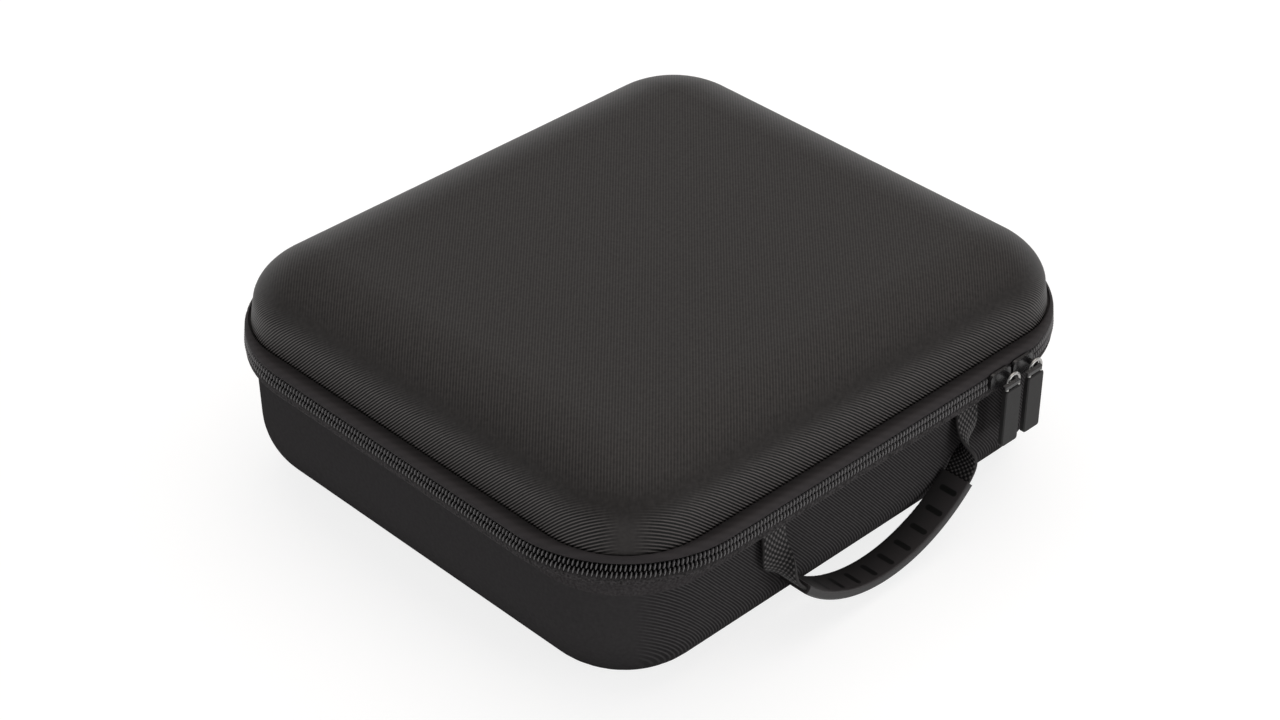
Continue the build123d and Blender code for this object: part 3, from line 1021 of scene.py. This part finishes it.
# %% Net pocket
# Knitted polyester: thin black strands with a faint sheen, and what lies behind shows through.
net_material, tree, shader = new_material(
    "black_polyester_net", {"Roughness": 0.55, "Sheen Weight": 0.2}
)
place = add_node(tree, "ShaderNodeTexCoord")
yarn = add_node(
    tree,
    "ShaderNodeTexNoise",
    values={"Scale": 900.0, "Detail": 2.0},
    links={"Vector": place.outputs["Object"]},
)
tone = add_node(
    tree,
    "ShaderNodeMix",
    {"data_type": "RGBA"},
    {"A": srgb("#1b1b1c"), "B": srgb("#3a393a")},
    {"Factor": yarn.outputs["Fac"]},
)
tree.links.new(tone.outputs["Result"], shader.inputs["Base Color"])

net_low, net_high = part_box("lid_pocket_mesh")
net_middle = (net_low + net_high) / 2
net_corner = 0.0367
net_cell = 0.0034
net_strand = 0.0011
cells_across = 100
net_side = cells_across * net_cell
bm = bmesh.new()
bmesh.ops.create_grid(bm, x_segments=cells_across, y_segments=cells_across, size=0.5)
bmesh.ops.scale(bm, vec=(net_side, net_side, 1), verts=bm.verts)
bmesh.ops.rotate(bm, cent=(0, 0, 0), matrix=Matrix.Rotation(radians(45), 3, "Z"), verts=bm.verts)
bmesh.ops.translate(bm, vec=net_middle, verts=bm.verts)
trims = [(net_low, (0, -1, 0)), (net_low, (-1, 0, 0)), (net_high, (1, 0, 0)), (net_high, (0, 1, 0))]
for side in (-1, 1):
    centre = Vector((side * (net_high.x - net_corner), net_high.y - net_corner, net_middle.z))
    for angle in range(10, 90, 10):
        out = Vector((side * cos(radians(angle)), sin(radians(angle)), 0))
        trims.append((centre + out * net_corner, out))
for point, out in trims:
    everything = bm.verts[:] + bm.edges[:] + bm.faces[:]
    bmesh.ops.bisect_plane(bm, geom=everything, plane_co=point, plane_no=out, clear_outer=True)
net_area = sum(face.calc_area() for face in bm.faces)
bmesh.ops.wireframe(
    bm,
    faces=bm.faces,
    thickness=net_strand,
    offset=0.5,
    use_replace=True,
    use_boundary=True,
    use_even_offset=True,
)
net = add_piece("pocket_net", bm, net_material, "lid")
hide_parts("lid_pocket_mesh")
print("net covers", round(1e4 * net_area), "square cm")

# %% [markdown]
# The hem is a flat elastic band that gathers slightly, so it shows fine ribs across its width.
# A grid with a small ripple pushed into it reads as gathered elastic, which a flat strip doesn't.

# %% Elastic hem
# Woven elastic: black and matt, with fine cords along it and gathers across it.
elastic, tree, shader = new_material("black_elastic_band", {"Roughness": 0.65, "Sheen Weight": 0.15})
place = add_node(tree, "ShaderNodeTexCoord")
cords = add_node(
    tree,
    "ShaderNodeTexWave",
    {"wave_type": "BANDS", "bands_direction": "Y"},
    {"Scale": 160.0, "Distortion": 0.6},
    {"Vector": place.outputs["Object"]},
)
tone = add_node(
    tree,
    "ShaderNodeMix",
    {"data_type": "RGBA"},
    {"A": srgb("#151515"), "B": srgb("#2f2e2f")},
    {"Factor": cords.outputs["Fac"]},
)
tree.links.new(tone.outputs["Result"], shader.inputs["Base Color"])

hem_low, hem_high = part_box("lid_pocket_hem")
hem_size = hem_high - hem_low
hem_thickness = 0.0012
hem_gap = 0.001
gather_height = 0.0003
gather_pitch = 0.0045
bm = bmesh.new()
bmesh.ops.create_grid(bm, x_segments=400, y_segments=6, size=0.5)
bmesh.ops.scale(bm, vec=(hem_size.x - hem_gap, hem_size.y, 1), verts=bm.verts)
for vert in bm.verts:
    vert.co.z = gather_height * sin(2 * pi * vert.co.x / gather_pitch)
bmesh.ops.translate(bm, vec=(hem_low + hem_high) / 2, verts=bm.verts)
hem = add_piece("pocket_hem", bm, elastic, "lid")
thicken(hem, hem_thickness)
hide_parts("lid_pocket_hem")

# %% [markdown]
# The tub holds a tray of dense charcoal foam with three wells cut in it. Cut foam has soft edges
# and an open, speckled face, so the CAD form is copied, its sharp edges are rounded over, and
# the finish has the foam's cells in it.

# %% Foam tray
# Cut foam: charcoal and quite matt, speckled with cut cells.
edge_round = 0.0015
sharp_angle = radians(50)
flat_angle = radians(1)
foam, tree, shader = new_material("charcoal_foam", {"Roughness": 0.95, "Specular IOR Level": 0.15})
place = add_node(tree, "ShaderNodeTexCoord")
cells = add_node(
    tree,
    "ShaderNodeTexVoronoi",
    values={"Scale": 700.0},
    links={"Vector": place.outputs["Object"]},
)
tone = add_node(
    tree,
    "ShaderNodeMix",
    {"data_type": "RGBA"},
    {"A": srgb("#4a494a"), "B": srgb("#2b2a2b")},
    {"Factor": cells.outputs["Distance"]},
)
relief = add_node(
    tree,
    "ShaderNodeBump",
    {"invert": True},
    {"Strength": 0.4, "Distance": 0.0004},
    {"Height": cells.outputs["Distance"]},
)
tree.links.new(tone.outputs["Result"], shader.inputs["Base Color"])
tree.links.new(relief.outputs[0], shader.inputs["Normal"])

bm = bmesh.new()
bm.from_mesh(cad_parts["foam_tray"].data)
bmesh.ops.remove_doubles(bm, verts=bm.verts, dist=1e-6)
bmesh.ops.dissolve_limit(bm, angle_limit=flat_angle, verts=bm.verts, edges=bm.edges)
sharp = [edge for edge in bm.edges if edge.is_manifold and edge.calc_face_angle() > sharp_angle]
bmesh.ops.bevel(
    bm,
    geom=sharp,
    offset=edge_round,
    segments=3,
    profile=0.5,
    affect="EDGES",
    material=-1,
    clamp_overlap=False,
)
tray = add_piece("foam_insert", bm, foam, "base")
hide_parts("foam_tray")

# %% [markdown]
# The finished model keeps to the CAD part's box, except that the zip's teeth stand out half a
# millimetre at the sides. The visual box is printed.

# %% Size and finish
low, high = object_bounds()
print("visual box in mm:", [round(1000 * x, 1) for x in (*low, *high)])
